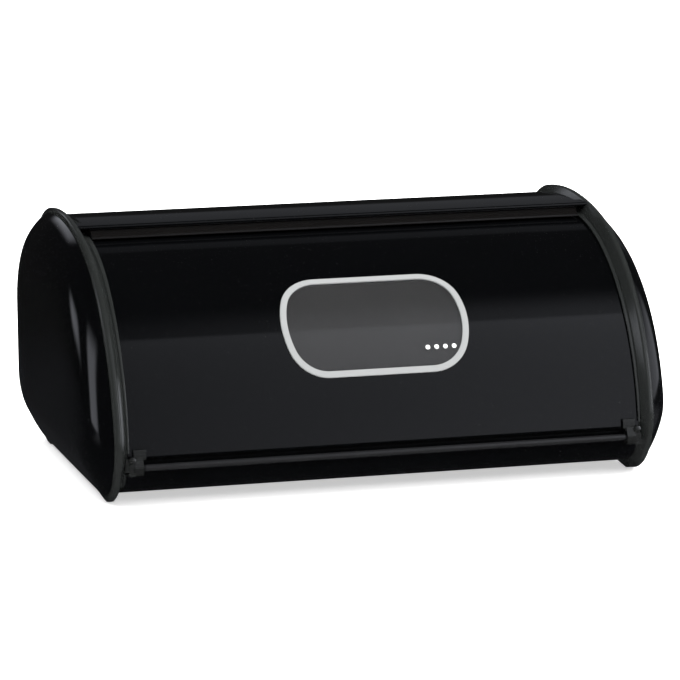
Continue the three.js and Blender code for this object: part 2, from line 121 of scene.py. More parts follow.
# bent sheet body; its top panel has a wider strip, the ears, along the front
SHEET = 0.9
SHELL_X = 178.8
SHELL_INSET = 5.5
SHELL_FLOOR = 6.5
SHELL_TOP = 173.6
SHELL_CROWN_R = 420.0
SHELL_LIP_R = 36.0
SHELL_LIP_Y = -104.5
SHELL_LIP_DEG = 213.5
PANEL_Y = -11.0
EAR_X = 184.4
EAR_REAR_Y = 4.0
TOP_PANEL_Z = 100
BEAD_R = 1.4
PANEL_RAIL_X = 175.4

# door, with its hem and the strip under it, and the lip over its edge
DOOR_R = 139.0
DOOR_X = 178.8
DOOR_SHEET = 0.75
DOOR_TOP_DEG = 90
DOOR_LOW_DEG = 175.0
HEM_DEG = 175.6
HEM_TURN_DEG = 175.25
HEM_HALF = 175.2
STRIP_R = 135.4
STRIP_SPAN_DEG = 5.4
LIP_X = 175.8
LIP_FOOT_X = 178.0
LIP_OUTER_X = 179.35
LIP_R = (139.98, 140.95)
LIP_END_DEG = 174.0
SLOT_TOP_DEG = 17

# window
WINDOW_DEG = 140.9
WINDOW_W = 131.0
WINDOW_H = 76.8
WINDOW_CORNER = 27.7
WINDOW_END_R = 62.0
WINDOW_HOLE_INSET = 2.0
RING_WIDTH = 4.6
PANE_INSET = 2.35
PANE_THICKNESS = 0.9
VENT_X, VENT_PITCH, VENT_DEG, VENTS = 33.9, 6.2, 149.45, 4

# ------------------------------------------------------------------ lines


def arc(cy, cz, r, a, b, step=2.0):
    """Points (y, z) on a circle from angle a to b, no more than `step` degrees apart."""
    n = max(2, math.ceil(abs(b - a) / step))
    t = np.radians(np.linspace(a, b, n + 1))
    return [(cy + r * math.cos(v), cz + r * math.sin(v)) for v in t]


def about(r, degrees):
    """Point (y, z) at a radius and angle about the door's axis."""
    a = math.radians(degrees)
    return r * math.cos(a), AXIS_Z + r * math.sin(a)


def rim_outline(inset=0.0):
    """Closed outline of a frame's crest, moved in by inset."""
    crown_z = HEIGHT - CROWN_R
    crown_deg = 180 - math.degrees(math.asin((AXIS_Z - crown_z) / (CROWN_R - FRONT_R)))
    crown_y = (FRONT_R - CROWN_R) * math.cos(math.radians(crown_deg))
    back_y = BACK_Y - BACK_TOP_R
    back_deg = math.degrees(math.acos((back_y - crown_y) / (CROWN_R - BACK_TOP_R)))
    back_z = crown_z + (CROWN_R - BACK_TOP_R) * math.sin(math.radians(back_deg))
    foot_deg = 180 - math.degrees(math.asin((FRONT_FOOT_R - AXIS_Z) / (FRONT_R - FRONT_FOOT_R)))
    foot_y = (FRONT_R - FRONT_FOOT_R) * math.cos(math.radians(foot_deg))
    foot = arc(foot_y, FRONT_FOOT_R, FRONT_FOOT_R - inset, 270, foot_deg, 4)
    rear = arc(BACK_Y - BACK_FOOT_R, BACK_FOOT_R, BACK_FOOT_R - inset, 0, -90, 4)
    flat = [(rear[-1][0] + (foot[0][0] - rear[-1][0]) * k / 12, inset) for k in range(1, 12)]
    wall = [(BACK_Y - inset, back_z + (BACK_FOOT_R - back_z) * k / 5) for k in range(1, 5)]
    return (
        foot
        + arc(0, AXIS_Z, FRONT_R - inset, foot_deg, crown_deg)[1:]
        + arc(crown_y, crown_z, CROWN_R - inset, crown_deg, back_deg, 1.5)[1:]
        + arc(back_y, back_z, BACK_TOP_R - inset, back_deg, 0, 3)[1:]
        + wall
        + rear
        + flat
    )


def shell_line(inset=0.0):
    """The sheet's line from the front lip round the floor and back to the top panel's front edge."""
    corner = BACK_FOOT_R - SHELL_INSET
    back_y = BACK_Y - SHELL_INSET
    top_r, top_y = BACK_TOP_R - SHELL_INSET, BACK_Y - BACK_TOP_R
    crown_y, crown_z = PANEL_Y + 25, SHELL_TOP - SHELL_CROWN_R
    crown_deg = math.degrees(math.acos((top_y - crown_y) / (SHELL_CROWN_R - top_r)))
    top_z = crown_z + (SHELL_CROWN_R - top_r) * math.sin(math.radians(crown_deg))
    front_deg = math.degrees(math.acos((PANEL_Y - crown_y) / SHELL_CROWN_R))
    return (
        arc(SHELL_LIP_Y, SHELL_FLOOR + SHELL_LIP_R, SHELL_LIP_R - inset, SHELL_LIP_DEG, 270, 3)
        + arc(back_y - corner, SHELL_FLOOR + corner, corner - inset, -90, 0, 4)
        + arc(top_y, top_z, top_r - inset, 0, crown_deg, 3)
        + arc(crown_y, crown_z, SHELL_CROWN_R - inset, crown_deg, front_deg, 0.8)[1:]
    )


def rounded(points, radius, n=4):
    """Closed outline with every corner rounded; radius is one number or one per corner."""
    out = []
    for i, corner in enumerate(points):
        p = np.array(corner, float)
        r = radius[i] if hasattr(radius, "__len__") else radius
        a = np.array(points[i - 1], float) - p
        b = np.array(points[(i + 1) % len(points)], float) - p
        la, lb = np.linalg.norm(a), np.linalg.norm(b)
        a, b = a / la, b / lb
        half = math.acos(max(-1.0, min(1.0, float(a @ b)))) / 2
        d = min(r / math.tan(half), 0.45 * la, 0.45 * lb) if half > 1e-3 else 0
        if d < 1e-4 or half > 1.55:
            out.append(tuple(p))
            continue
        for t in np.linspace(0, 1, n + 1):
            q = (1 - t) ** 2 * (p + a * d) + 2 * t * (1 - t) * p + t * t * (p + b * d)
            out.append(tuple(q))
    return out


def capped(inset):
    """Outline of the cap at an inset; past the shoulder it shrinks to the middle."""
    shoulder = min(inset, CAP_SHOULDER)
    lift = CAP_LIFT * min(1.0, max(0.0, (inset - CAP_INSET) / CAP_LIFT_OVER))
    line = np.array(rim_outline(shoulder))
    line[:, 1] += lift * (1 - line[:, 1] / HEIGHT)
    middle = (line.min(axis=0) + line.max(axis=0)) / 2
    return [tuple(p) for p in middle + (line - middle) * (1 - (inset - shoulder) / CAP_TAPER)]


def cap_x(inset):
    """How far out the dome stands at an inset."""
    t = min(1.0, (inset - CAP_INSET) / CAP_DOME)
    return CAP_X + (HALF_WIDTH - CAP_X) * (1 - (1 - t) ** 4)


def window_loop(inset, n=14, straight=18):
    """The window's outline moved in by inset, as (x, arc length from its middle). Its ends are bowed."""
    w, h = WINDOW_W / 2 - inset, WINDOW_H / 2 - inset
    c, e = WINDOW_CORNER - inset, WINDOW_END_R - inset
    cx = w - e + math.sqrt((e - c) ** 2 - (h - c) ** 2)
    meet = math.atan2(h - c, cx - w + e)
    quarter = [(w - e + e * math.cos(meet * k / n), e * math.sin(meet * k / n)) for k in range(n)]
    for k in range(n + 1):
        t = meet + (math.pi / 2 - meet) * k / n
        quarter.append((cx + c * math.cos(t), h - c + c * math.sin(t)))
    quarter += [(cx * (1 - k / straight), h) for k in range(1, straight + 1)]
    back = [(-x, s) for x, s in reversed(quarter[:-1])]
    lower = [(-x, -s) for x, s in quarter[1:]]
    return quarter + back + lower + [(x, -s) for x, s in reversed(quarter[1:-1])]


def outward(degrees):
    """Direction away from the door's axis."""
    a = math.radians(degrees)
    return (0, math.cos(a), math.sin(a))


def on_door(x, s, r):
    """Point at arc length s above the window's middle on the circle of radius r."""
    y, z = about(r, WINDOW_DEG - math.degrees(s / DOOR_R))
    return (x, y, z)


# ------------------------------------------------------------------ meshes


def store(name, part, material, body, nodes_replaced, sharp=32.0):
    """One object from a part's points and faces, with its normals outwards and its sharp edges kept."""
    verts, faces = part
    mesh = bpy.data.meshes.new(name)
    mesh.from_pydata([(x * MM, (y + AXIS_Y) * MM, z * MM) for x, y, z in verts], [], faces)
    bm = bmesh.new()
    bm.from_mesh(mesh)
    bmesh.ops.remove_doubles(bm, verts=bm.verts, dist=1e-6)
    bmesh.ops.dissolve_degenerate(bm, dist=1e-7, edges=bm.edges)
    bmesh.ops.recalc_face_normals(bm, faces=bm.faces)
    bm.to_mesh(mesh)
    bm.free()
    for polygon in mesh.polygons:
        polygon.use_smooth = True
    mesh.set_sharp_from_angle(angle=math.radians(sharp))
    mesh.materials.append(material)
    piece = bpy.data.objects.new(name, mesh)
    bpy.context.scene.collection.objects.link(piece)
    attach(piece, body)
    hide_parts(*nodes_replaced)
    return piece


def soften(piece, width, angle):
    """Rounds a piece's edges that are sharper than an angle; width is in metres."""
    bevel = piece.modifiers.new("edges", "BEVEL")
    bevel.width = width
    bevel.segments = 3
    bevel.limit_method = "ANGLE"
    bevel.angle_limit = math.radians(angle)
    return bevel


def ring_skin(rings, closed=True):
    """Points and quads through rings of equal length, each a list of (x, y, z)."""
    n = len(rings[0])
    verts = [p for ring in rings for p in ring]
    faces = []
    for k in range(len(rings) if closed else len(rings) - 1):
        a, b = k * n, ((k + 1) % len(rings)) * n
        faces += [(a + i, a + (i + 1) % n, b + (i + 1) % n, b + i) for i in range(n)]
    return verts, faces


def bar_skin(rings):
    """The skin through an open run of rings, with a face across each end."""
    verts, faces = ring_skin(rings, False)
    n = len(rings[0])
    last = len(verts) - n
    return verts, faces + [tuple(range(n))[::-1], tuple(range(last, last + n))]


def prism(outline, x0, x1):
    """Closed bar of a (y, z) outline along X."""
    return bar_skin([[(x, y, z) for y, z in outline] for x in (x0, x1)])


def arc_bar(x0, x1, r0, r1, a, b):
    """Bar along X whose section is a stretch of the ring between two radii."""
    return prism(arc(0, AXIS_Z, r1, a, b) + arc(0, AXIS_Z, r0, b, a), x0, x1)


def lathe(profile, sides=32, tube=False):
    """Body of revolution about Z from (radius, height) points; a tube's profile closes on itself."""
    turns = [2 * math.pi * i / sides for i in range(sides)]
    rings = [[(r * math.cos(a), r * math.sin(a), h) for a in turns] for r, h in profile]
    return ring_skin(rings) if tube else bar_skin(rings)


def merged(*parts):
    """Several parts as one list of points and one of faces."""
    verts, faces = [], []
    for v, f in parts:
        base = len(verts)
        verts += v
        faces += [tuple(base + i for i in face) for face in f]
    return verts, faces


def flipped(part):
    """The part's mirror image on the other side of the bin."""
    verts, faces = part
    return [(-x, y, z) for x, y, z in verts], [tuple(reversed(f)) for f in faces]


def placed(part, matrix):
    """The part moved by a matrix."""
    verts, faces = part
    return [tuple(matrix @ Vector(p)) for p in verts], faces


def along_x(y, z):
    """Matrix that lays a lathed part along X through a point."""
    return Matrix.Translation((0, y, z)) @ Matrix.Rotation(math.pi / 2, 4, "Y")


def radial(x, degrees, r):
    """Matrix that puts z = 0 at radius r from the door axis, z outwards."""
    return Matrix.Translation((x, *about(r, degrees))) @ Matrix.Rotation(math.radians(degrees - 90), 4, "X")


def thick(surface, normals, t):
    """A sheet of thickness t under a surface given as (verts, faces), with its edges closed."""
    verts, faces = surface
    n = len(verts)
    under = [tuple(np.array(p) - np.array(m) * t) for p, m in zip(verts, normals)]
    edges = {}
    for f in faces:
        for a, b in zip(f, f[1:] + f[:1]):
            if (b, a) in edges:
                del edges[b, a]
            else:
                edges[a, b] = True
    walls = [(a, b, b + n, a + n)[::-1] for a, b in edges]
    return verts + under, faces + [tuple(i + n for i in reversed(f)) for f in faces] + walls


# ------------------------------------------------------------------ materials


def link_noise(tree, where, scale, detail):
    """A noise over the object's own coordinates."""
    noise = tree.nodes.new("ShaderNodeTexNoise")
    noise.inputs["Scale"].default_value = scale
    noise.inputs["Detail"].default_value = detail
    tree.links.new(where, noise.inputs["Vector"])
    return noise.outputs["Fac"]


def speckle(tree, where, stretch, detail, low_cut, high_cut):
    """Sparse marks: 0 nearly everywhere, 1 on a mark."""
    size = tree.nodes.new("ShaderNodeMapping")
    size.inputs["Scale"].default_value = stretch
    tree.links.new(where, size.inputs["Vector"])
    gate = tree.nodes.new("ShaderNodeMapRange")
    gate.inputs["From Min"].default_value = low_cut
    gate.inputs["From Max"].default_value = high_cut
    tree.links.new(link_noise(tree, size.outputs["Vector"], 1.0, detail), gate.inputs["Value"])
    return gate.outputs["Result"]


def blend(tree, socket, factor, strength, value):
    """Moves whatever feeds a socket towards a value by factor x strength."""
    amount = tree.nodes.new("ShaderNodeMath")
    amount.operation = "MULTIPLY"
    amount.inputs[1].default_value = strength
    tree.links.new(factor, amount.inputs[0])
    mix = tree.nodes.new("ShaderNodeMix")
    is_color = hasattr(value, "__len__")
    mix.data_type = "RGBA" if is_color else "FLOAT"
    a, b, out = (6, 7, 2) if is_color else (2, 3, 0)
    mix.inputs[b].default_value = value
    if socket.links:
        tree.links.new(socket.links[0].from_socket, mix.inputs[a])
    else:
        mix.inputs[a].default_value = socket.default_value
    tree.links.new(amount.outputs[0], mix.inputs[0])
    tree.links.new(mix.outputs[out], socket)


BUMP_DEPTH = 0.0002


def material(name, color, roughness, rough_var, bump, tint, metallic=0.0, scratches=0.0, dust=0.0, wear=0.0):
    """A finish with uneven roughness, a fine bump and a tint of its colour, each an (amount, scale).

    Scratches run along X, dust is pale specks, and wear lightens the edges.
    """
    m = bpy.data.materials.new(name)
    m.use_nodes = True
    t = m.node_tree
    b = t.nodes["Principled BSDF"]
    b.inputs["Base Color"].default_value = (*color, 1)
    b.inputs["Roughness"].default_value = roughness
    b.inputs["Metallic"].default_value = metallic
    where = t.nodes.new("ShaderNodeTexCoord").outputs["Object"]

    amount, scale = tint
    ramp = t.nodes.new("ShaderNodeValToRGB")
    ramp.color_ramp.elements[0].color = (*[c * (1 - amount) for c in color], 1)
    ramp.color_ramp.elements[1].color = (*[min(1, c * (1 + amount)) for c in color], 1)
    t.links.new(link_noise(t, where, scale, 5), ramp.inputs["Fac"])
    t.links.new(ramp.outputs["Color"], b.inputs["Base Color"])

    amount, scale = rough_var
    span = t.nodes.new("ShaderNodeMapRange")
    span.inputs["To Min"].default_value = max(0.01, roughness - amount)
    span.inputs["To Max"].default_value = roughness + amount
    t.links.new(link_noise(t, where, scale, 6), span.inputs["Value"])
    t.links.new(span.outputs["Result"], b.inputs["Roughness"])

    amount, scale = bump
    bumps = t.nodes.new("ShaderNodeBump")
    bumps.inputs["Strength"].default_value = amount
    bumps.inputs["Distance"].default_value = BUMP_DEPTH
    t.links.new(link_noise(t, where, scale, 3), bumps.inputs["Height"])
    t.links.new(bumps.outputs["Normal"], b.inputs["Normal"])

    if scratches:
        lines = speckle(t, where, (30, 2400, 2400), 1.0, 0.66, 0.72)
        blend(t, b.inputs["Roughness"], lines, scratches, roughness + 0.25)
    if dust:
        specks = speckle(t, where, (900, 900, 900), 2.0, 0.70, 0.76)
        blend(t, b.inputs["Roughness"], specks, dust, 0.6)
        blend(t, b.inputs["Base Color"], specks, dust * 0.4, (0.05, 0.05, 0.048, 1))
    if wear:
        rub = t.nodes.new("ShaderNodeMapRange")
        rub.inputs["From Min"].default_value = 0.53
        rub.inputs["From Max"].default_value = 0.66
        t.links.new(t.nodes.new("ShaderNodeNewGeometry").outputs["Pointiness"], rub.inputs["Value"])
        blend(t, b.inputs["Base Color"], rub.outputs["Result"], wear, (*[c * 2.2 for c in color], 1))
    return m


paint = material("black_paint", (0.0010, 0.0011, 0.0013), 0.06, rough_var=(0.02, 40), bump=(0.03, 450),
                 tint=(0.12, 12), scratches=0.25, dust=0.5)
plastic = material("frame_plastic", (0.0125, 0.0136, 0.0132), 0.14, rough_var=(0.04, 300), bump=(0.08, 2600),
                   tint=(0.10, 60), scratches=0.2, dust=0.4, wear=0.5)
clip_plastic = material("clip_plastic", (0.0065, 0.0070, 0.0068), 0.24, rough_var=(0.05, 300),
                        bump=(0.1, 2600), tint=(0.12, 90), scratches=0.2, dust=0.4, wear=0.7)
rail_plastic = material("rail_plastic", (0.0032, 0.0029, 0.0028), 0.30, rough_var=(0.04, 300),
                        bump=(0.05, 3200), tint=(0.15, 60), dust=0.4)
rod_paint = material("rod_paint", (0.009, 0.0092, 0.0098), 0.16, rough_var=(0.04, 300), bump=(0.04, 900),
                     tint=(0.10, 80), scratches=0.4, dust=0.4)
silver = material("silver_ring", (0.235, 0.24, 0.24), 0.38, rough_var=(0.05, 500), bump=(0.12, 5000),
                  tint=(0.03, 90), scratches=0.3)
eyelet_white = material("white_eyelet", (0.80, 0.80, 0.78), 0.35, rough_var=(0.05, 400), bump=(0.1, 4000),
                        tint=(0.03, 25))
steel = material("fastener_steel", (0.46, 0.47, 0.48), 0.32, rough_var=(0.08, 700), bump=(0.2, 3500),
                 tint=(0.06, 300), metallic=1.0, scratches=0.5)
smoky = material("smoky_pane", (0.027, 0.027, 0.0275), 0.08, rough_var=(0.03, 60), bump=(0.02, 300),
                 tint=(0.10, 30), scratches=0.3, dust=0.4)
smoky_shader = smoky.node_tree.nodes["Principled BSDF"]
smoky_shader.inputs["Alpha"].default_value = 0.72
smoky_shader.inputs["Coat Weight"].default_value = 1.0

# ------------------------------------------------------------------ end frames and caps

# the rim's section, (x, inset) points and the radius of each corner
RIM_SECTION = rounded(
    [(179.9, 9.5), (179.9, 6.6), (180.7, 5.3), (183.7, 0.5), (184.5, 0.0), (186.3, 0.0), (187.6, 0.9),
     (188.4, 3.2), (188.4, 9.5)],
    [0.1, 0.25, 0.3, 0.9, 0.6, 0.7, 0.7, 0.5, 0.1])


def rim_ring(x, inset):
    """The rim's outline at an inset, standing at x."""
    return [(x, y, z) for y, z in rim_outline(inset)]


def frame_web():
    """Flat wall inside the rim, open where the door turns."""
    outer_inset, inner_inset = WEB_INSET
    inner = []
    for y, z in rim_outline(inner_inset):
        k = min(1, WEB_INNER_R / math.hypot(y, z - AXIS_Z))
        inner.append((y * k, AXIS_Z + (z - AXIS_Z) * k))
    x0, x1 = WEB_X
    return ring_skin([rim_ring(x0, outer_inset), rim_ring(x1, outer_inset),
                      [(x1, y, z) for y, z in inner], [(x0, y, z) for y, z in inner]])


def door_lip():
    """Lip over the door's edge, with a soft edge, narrower towards its lower end."""
    r0, r1 = LIP_R
    rings = []
    for angle in np.linspace(LIP_END_DEG, SLOT_TOP_DEG, 112):
        x = LIP_X + (LIP_FOOT_X - LIP_X) * max(0.0, (angle - 90) / (LIP_END_DEG - 90))
        section = rounded([(x, r0), (x, r1), (LIP_OUTER_X, r1), (LIP_OUTER_X, r0)], [0.12, 0.4, 0.45, 0.1])
        rings.append([(px, *about(r, angle)) for px, r in section])
    return bar_skin(rings)


def shell_ledge():
    """Ledge inside the sheet body, which stops behind the top panel's wide front strip."""
    pairs = zip(*(shell_line(inset) for inset in LEDGE_INSET))
    kept = [(p, q) for p, q in pairs if not (p[1] > TOP_PANEL_Z and p[0] < EAR_REAR_Y + 1)]
    return prism([p for p, q in kept] + [q for p, q in kept][::-1], LEDGE_X, INSIDE_X)


def foot(y, length):
    """Pad under the rim, from y towards the back."""
    outline = [(y, 0), (y + length, 0), (y + length, FOOT_HEIGHT), (y, FOOT_HEIGHT)]
    return prism(rounded(outline, 0.8), *FOOT_X)


def raised_between_feet(part):
    """The rim's straight underside stands up clear of the surface between its feet."""
    verts, faces = part
    front, rear = RAISED_Y
    out = []
    for x, y, z in verts:
        if x > RAISED_X and z < RAISED_BY:
            share = min(1, max(0, (y - front) / RAISED_RAMP)) * min(1, max(0, (rear - y) / RAISED_RAMP))
            z += (RAISED_BY - z) * share
        out.append((x, y, z))
    return out, faces


def end_frame():
    """Rim, web, slot rails, door stop, shell ledge and feet of the right frame."""
    rim = ring_skin([rim_ring(x, inset) for x, inset in RIM_SECTION])
    rail = arc_bar(RAIL_X, INSIDE_X, *RAIL_R, RAIL_END_DEG, SLOT_TOP_DEG)
    stop = arc_bar(RAIL_X, STOP_X, *STOP_R, *reversed(STOP_DEG))
    feet = [foot(y, length) for y, length in FEET]
    return raised_between_feet(merged(rim, frame_web(), door_lip(), rail, stop, shell_ledge(), *feet))


def end_cap():
    """Domed skin of the right cap, its turned edge in the rim's groove, and its inner face."""
    outer = [[(cap_x(CAP_INSET + s), y, z) for y, z in capped(CAP_INSET + s)] for s in CAP_STEPS]
    seat_x = CAP_X - 0.1
    root, tip, inside = CAP_TONGUE_INSET
    edge = [rim_ring(seat_x, CAP_INSET + 0.5), rim_ring(seat_x, root), rim_ring(CAP_TONGUE_X, tip),
            rim_ring(CAP_TONGUE_X, inside)]
    inner = [[(cap_x(CAP_INSET + s) - CAP_WALL, y, z) for y, z in capped(CAP_INSET + s)]
             for s in CAP_INNER_STEPS]
    return bar_skin(outer[::-1] + edge + inner)


frame_part = end_frame()
store("left_frame_moulding", flipped(frame_part), plastic, "base", ["left_end_frame"])
store("right_frame_moulding", frame_part, plastic, "base", ["right_end_frame"])
cap_part = end_cap()
store("left_domed_cap", flipped(cap_part), paint, "base", ["left_end_cap"], 50)
store("right_domed_cap", cap_part, paint, "base", ["right_end_cap"], 50)

# ------------------------------------------------------------------ sheet body and top rail


def shell():
    """One bent sheet whose front strip is wider than the rest, and the bead along its front edge."""
    line = shell_line()
    normals = [(0, (a[0] - b[0]) / SHEET, (a[1] - b[1]) / SHEET) for a, b in zip(line, shell_line(SHEET))]
    ear_from = next(k for k, (y, z) in enumerate(line) if z > TOP_PANEL_Z and y <= EAR_REAR_Y)
    xs = [-EAR_X, *np.linspace(-SHELL_X, SHELL_X, 13), EAR_X]
    verts, norms, faces, index = [], [], [], {}
    for k, (y, z) in enumerate(line):
        for j, x in enumerate(xs):
            if abs(x) == EAR_X and k < ear_from:
                continue
            index[k, j] = len(verts)
            verts.append((x, y, z))
            norms.append(normals[k])
    for k in range(len(line) - 1):
        for j in range(len(xs) - 1):
            quad = [(k, j), (k, j + 1), (k + 1, j + 1), (k + 1, j)]
            if all(q in index for q in quad):
                faces.append(tuple(index[q] for q in quad))
    y, z = line[-1]
    half = [(0.3, EAR_X), (BEAD_R - 0.3, EAR_X), (BEAD_R, EAR_X - 0.4)]
    bead = lathe([(r, -x) for r, x in half] + half[::-1], 24)
    return merged(thick((verts, faces), norms, SHEET), placed(bead, along_x(y - 0.8, z - SHEET)))


def rail():
    """Rail under the top panel's front edge, with a fine ridge along its slanted face."""
    top_y, top_z = PANEL_Y - 1.0, SHELL_TOP - 3.8
    foot_y, foot_z = PANEL_Y - 7.5, AXIS_Z + DOOR_R + 0.5
    under = SHELL_TOP - 2.2

    def face(t, proud):
        return top_y + (foot_y - top_y) * t - proud * 0.77, top_z + (foot_z - top_z) * t + proud * 0.64

    outline = [(PANEL_Y + 1.7, top_z), face(0, 0), face(0.60, 0), face(0.66, 0.5), face(0.84, 0.5),
               face(0.9, 0), face(1, 0), (foot_y + 1.2, foot_z), (PANEL_Y + 4, foot_z + 1.3),
               (PANEL_Y + 15, foot_z + 1.5), (PANEL_Y + 15, under + 0.1), (PANEL_Y + 4, under - 0.1),
               (PANEL_Y + 1.7, under - 1)]
    return prism(rounded(outline, 0.35, 3), -PANEL_RAIL_X, PANEL_RAIL_X)


store("steel_shell", shell(), paint, "base", ["body_shell"])
store("panel_rail", rail(), rail_plastic, "base", ["top_front_rail"])

# ------------------------------------------------------------------ the door


def door_outline(hole, s_top, s_low):
    """The door's edge: one (x, arc length) point for each point of the hole, roughly in its direction."""
    evened = 1.25

    def turn(s, x):
        return math.atan2(s, x) % (2 * math.pi)

    turns = [turn(s * evened, x) for x, s in hole]
    outline = []
    for a in turns:
        c, s = math.cos(a), math.sin(a)
        to_side = DOOR_X / abs(c) if abs(c) > 1e-9 else math.inf
        to_end = abs(s_top if s > 0 else s_low) / abs(s) if abs(s) > 1e-9 else math.inf
        t = min(to_side, to_end)
        outline.append([c * t, s * t])
    for x, s in ((DOOR_X, s_top), (-DOOR_X, s_top), (-DOOR_X, s_low), (DOOR_X, s_low)):
        off = [abs((a - turn(s, x) + math.pi) % (2 * math.pi) - math.pi) for a in turns]
        outline[off.index(min(off))] = [x, s]
    return outline


def hem_path():
    """(radius, angle) points of the hem that turns in below the door and the strip behind the handle rod."""
    # both bends have a radius of 1 mm
    path = [(DOOR_R, HEM_TURN_DEG - 0.1), (DOOR_R, HEM_TURN_DEG)]
    for a in np.radians(np.linspace(0, 90, 9)[1:]):
        path.append((DOOR_R - 1 + math.cos(a), HEM_TURN_DEG + math.degrees(math.sin(a) / DOOR_R)))
    path.append((STRIP_R + 1.2, HEM_TURN_DEG + math.degrees(1 / DOOR_R)))
    for a in np.radians(np.linspace(0, 90, 7)[1:]):
        path.append((STRIP_R + 1 - math.sin(a), HEM_TURN_DEG + math.degrees((2 - math.cos(a)) / DOOR_R)))
    return path + [(STRIP_R, HEM_DEG + STRIP_SPAN_DEG * k / 6) for k in range(2, 7)]


def door():
    """Curved sheet with the window's opening, a turned-in hem and the strip behind the handle rod."""
    hole = window_loop(WINDOW_HOLE_INSET)
    s_top = math.radians(WINDOW_DEG - DOOR_TOP_DEG) * DOOR_R
    s_low = -math.radians(DOOR_LOW_DEG - WINDOW_DEG) * DOOR_R
    outline = door_outline(hole, s_top, s_low)
    n = len(hole)
    steps = 44
    verts, norms = [], []
    for t in np.arange(steps + 1) / steps:
        for (x0, s0), (x1, s1) in zip(hole, outline):
            s = s0 + (s1 - s0) * t
            verts.append(on_door(x0 + (x1 - x0) * t, s, DOOR_R))
            norms.append(outward(WINDOW_DEG - math.degrees(s / DOOR_R)))
    faces = []
    for j in range(steps):
        for i in range(n):
            a, b = j * n + i, j * n + (i + 1) % n
            faces.append((a, b, b + n, a + n))

    # the hem carries on from the lower side of the outline
    lowest = sorted((i for i in range(n) if abs(outline[i][1] - s_low) < 1e-6), key=lambda i: outline[i][0])
    row = [steps * n + i for i in lowest]
    path = hem_path()
    points = [about(*p) for p in path]
    for k, (y, z) in enumerate(points):
        normal = outward(HEM_TURN_DEG - 0.05)
        if k > 1:
            before, after = points[k - 1], points[min(len(points) - 1, k + 1)]
            length = math.dist(before, after)
            normal = (0, (after[1] - before[1]) / length, (before[0] - after[0]) / length)
        share = min(1, max(0, DOOR_R - path[k][0]))
        first = len(verts)
        for i in lowest:
            verts.append((outline[i][0] * (1 - share * (1 - HEM_HALF / DOOR_X)), y, z))
            norms.append(normal)
        new = list(range(first, len(verts)))
        faces += [(row[i], row[i + 1], new[i + 1], new[i]) for i in range(len(row) - 1)]
        row = new
    return thick((verts, faces), norms, DOOR_SHEET)


def window_band(section, radius, n):
    """A frame swept round the window: section is (inset from the outside, radius) corners."""
    corners = rounded(section, radius, n)
    return ring_skin([[on_door(x, s, r) for x, s in window_loop(inset)] for inset, r in corners])


def pane():
    """Smoky pane: the window's shape drawn in ring by ring to its middle."""
    shares = (1, 0.96, 0.9, 0.82, 0.72, 0.6, 0.48, 0.36, 0.24, 0.12, 0.04)
    loop = window_loop(PANE_INSET)
    verts, faces = ring_skin([[on_door(x * k, s * k, DOOR_R - 0.02) for x, s in loop] for k in shares], False)
    faces.append(tuple(range(len(verts) - len(loop), len(verts))))
    norms = [tuple(Vector((0, y, z - AXIS_Z)).normalized()) for x, y, z in verts]
    return thick((verts, faces), norms, PANE_THICKNESS)


store("door_sheet", door(), paint, "door", ["door_panel"], 45)
trim = window_band([(0, 139.35), (0.1, 140.45), (RING_WIDTH - 0.1, 140.45), (RING_WIDTH, 139.35)],
                   [0.1, 0.75, 0.75, 0.1], 5)
store("window_trim", trim, silver, "door", ["window_ring"], 50)
backing = window_band([(0, 136.1), (0, 137.6), (RING_WIDTH, 137.6), (RING_WIDTH, 136.1)], 0.4, 3)
store("window_backing", backing, plastic, "door", ["window_retainer"], 50)
store("smoky_window", pane(), smoky, "door", ["window_pane"], 50)

vent_bush = lathe([(0.45, -1.4), (0.85, -1.4), (0.85, 0.36), (1.62, 0.36), (1.65, 0.5), (1.55, 0.72),
                   (1.25, 0.82), (0.8, 0.8), (0.5, 0.6), (0.45, 0.3)], 28, tube=True)
for k in range(VENTS):
    bush = placed(vent_bush, radial(VENT_X + VENT_PITCH * k, VENT_DEG, DOOR_R))
    store(f"vent_bush_{k + 1}", bush, eyelet_white, "door", [f"vent_eyelet_{k + 1}"], 50)

# ------------------------------------------------------------------ handle rod and its clips

# the right end of the rod, (radius, x)
ROD_END = [(0.02, 172.5), (1.2, 172.5), (1.2, 168.6), (1.55, 168.5), (1.95, 168.1), (2.15, 167.5),
           (2.2, 166.8)]
rod_low, rod_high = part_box("handle_rod")
rod_y = (rod_low[1] + rod_high[1]) / 2 / MM - AXIS_Y
rod_z = (rod_low[2] + rod_high[2]) / 2 / MM
rod = lathe([(r, -x) for r, x in ROD_END] + [(r, x) for r, x in reversed(ROD_END)])
store("rod_bar", placed(rod, along_x(rod_y, rod_z)), rod_paint, "door", ["handle_rod"], 50)

# the clip's hook, (y, z) corners and their radii
HOOK = rounded(
    [(-136.0, 24.3), (-141.8, 24.3), (-143.5, 25.0), (-144.3, 26.6), (-144.3, 30.6), (-143.4, 32.6),
     (-141.9, 34.6), (-141.4, 36.4), (-139.4, 36.4), (-139.4, 34.9), (-136.0, 34.9)],
    [0.6, 0.9, 0.8, 1.0, 1.0, 1.2, 1.4, 0.8, 0.1, 0.1, 0.4])
HOOK_X = (169.0, 175.4)
TAB_X = (166.8, 175.4)
TAB_R = (139.35, 141.6)
TAB_DEG = (173.2, 175.9)
WING_X = (174.6, 178.8)
WING_R = (141.4, 143.9)
WING_DEG = (177.0, 180.2)
BOSS_X, BOSS_DEG = 176.5, 176.0


